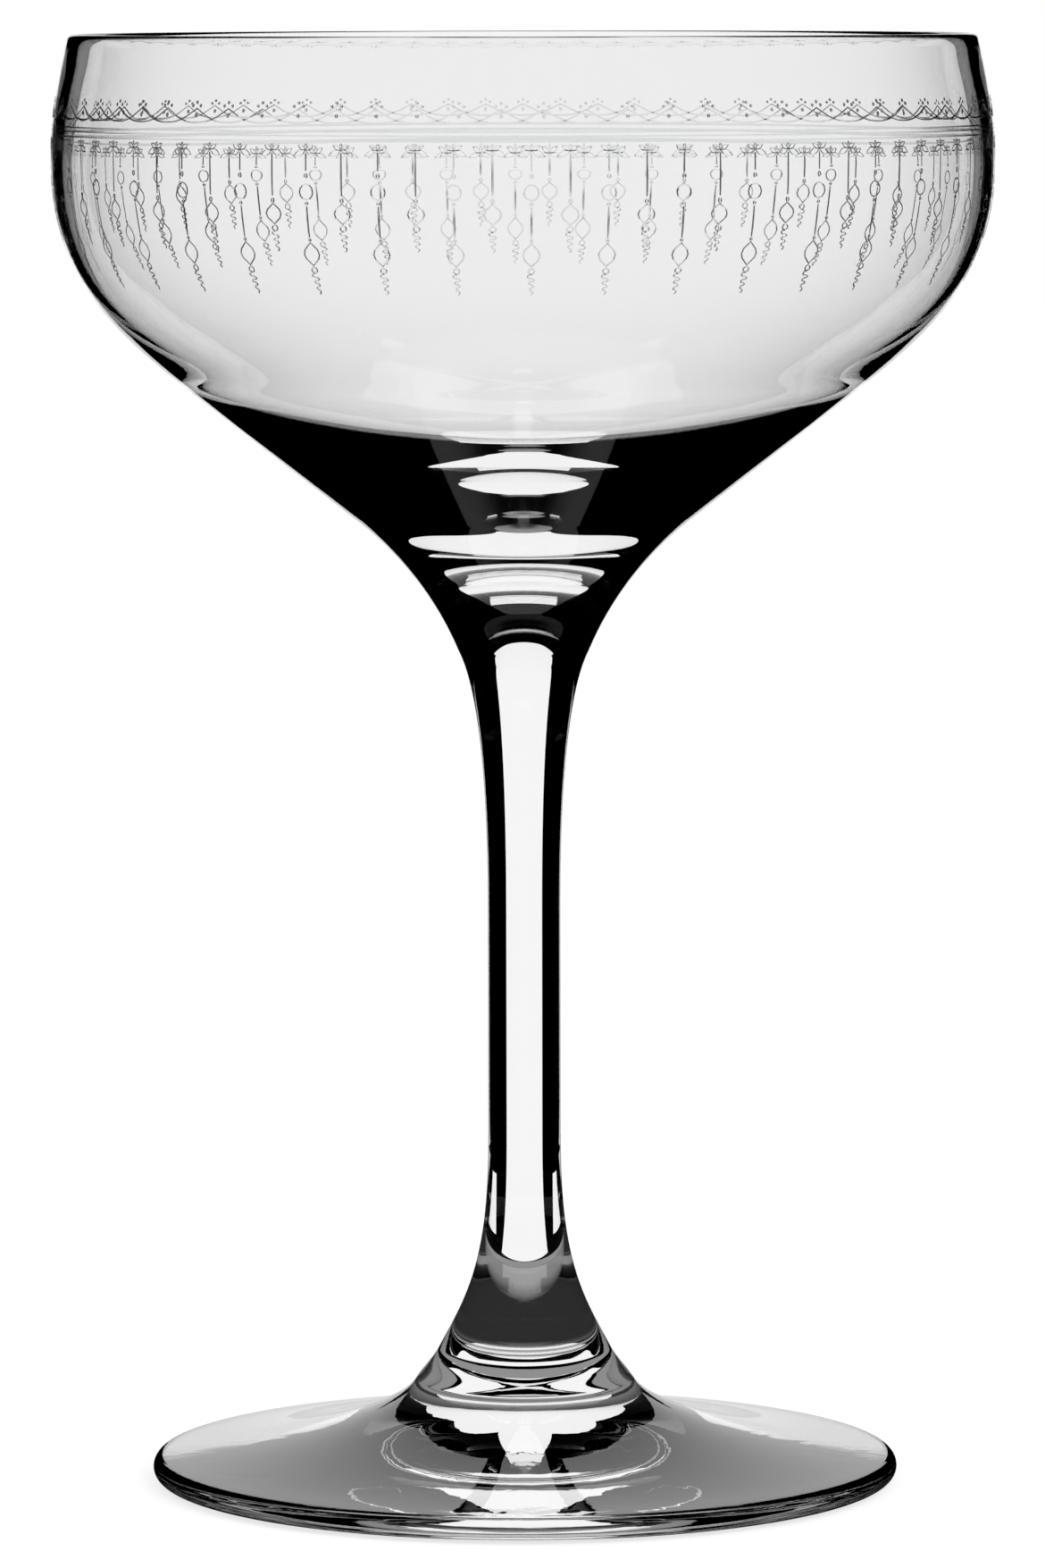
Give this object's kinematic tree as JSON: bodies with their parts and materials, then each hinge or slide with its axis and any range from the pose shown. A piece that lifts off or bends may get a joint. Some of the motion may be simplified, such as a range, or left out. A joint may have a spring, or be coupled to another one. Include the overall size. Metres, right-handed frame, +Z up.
{
  "type": "coupe glass",
  "caption": "Wide-bowled stemmed glass with a drawn stem and a round foot, for champagne and short cocktails.",
  "frame": {"origin": "centre of the foot's underside, on the table that the glass stands on", "axes": "+Z up along the glass's axis, from the foot to the rim; X and Y are alike, because the glass is round, and -Y faces the camera"},
  "size_m": [0.094, 0.094, 0.145],
  "materials": {
    "clear_glass": "fire-polished, with a frosted needle-etched border round the bowl"
  },
  "bodies": {
    "root": {"bowl": "clear_glass", "stem": "clear_glass", "foot": "clear_glass"}
  },
  "joints": []
}
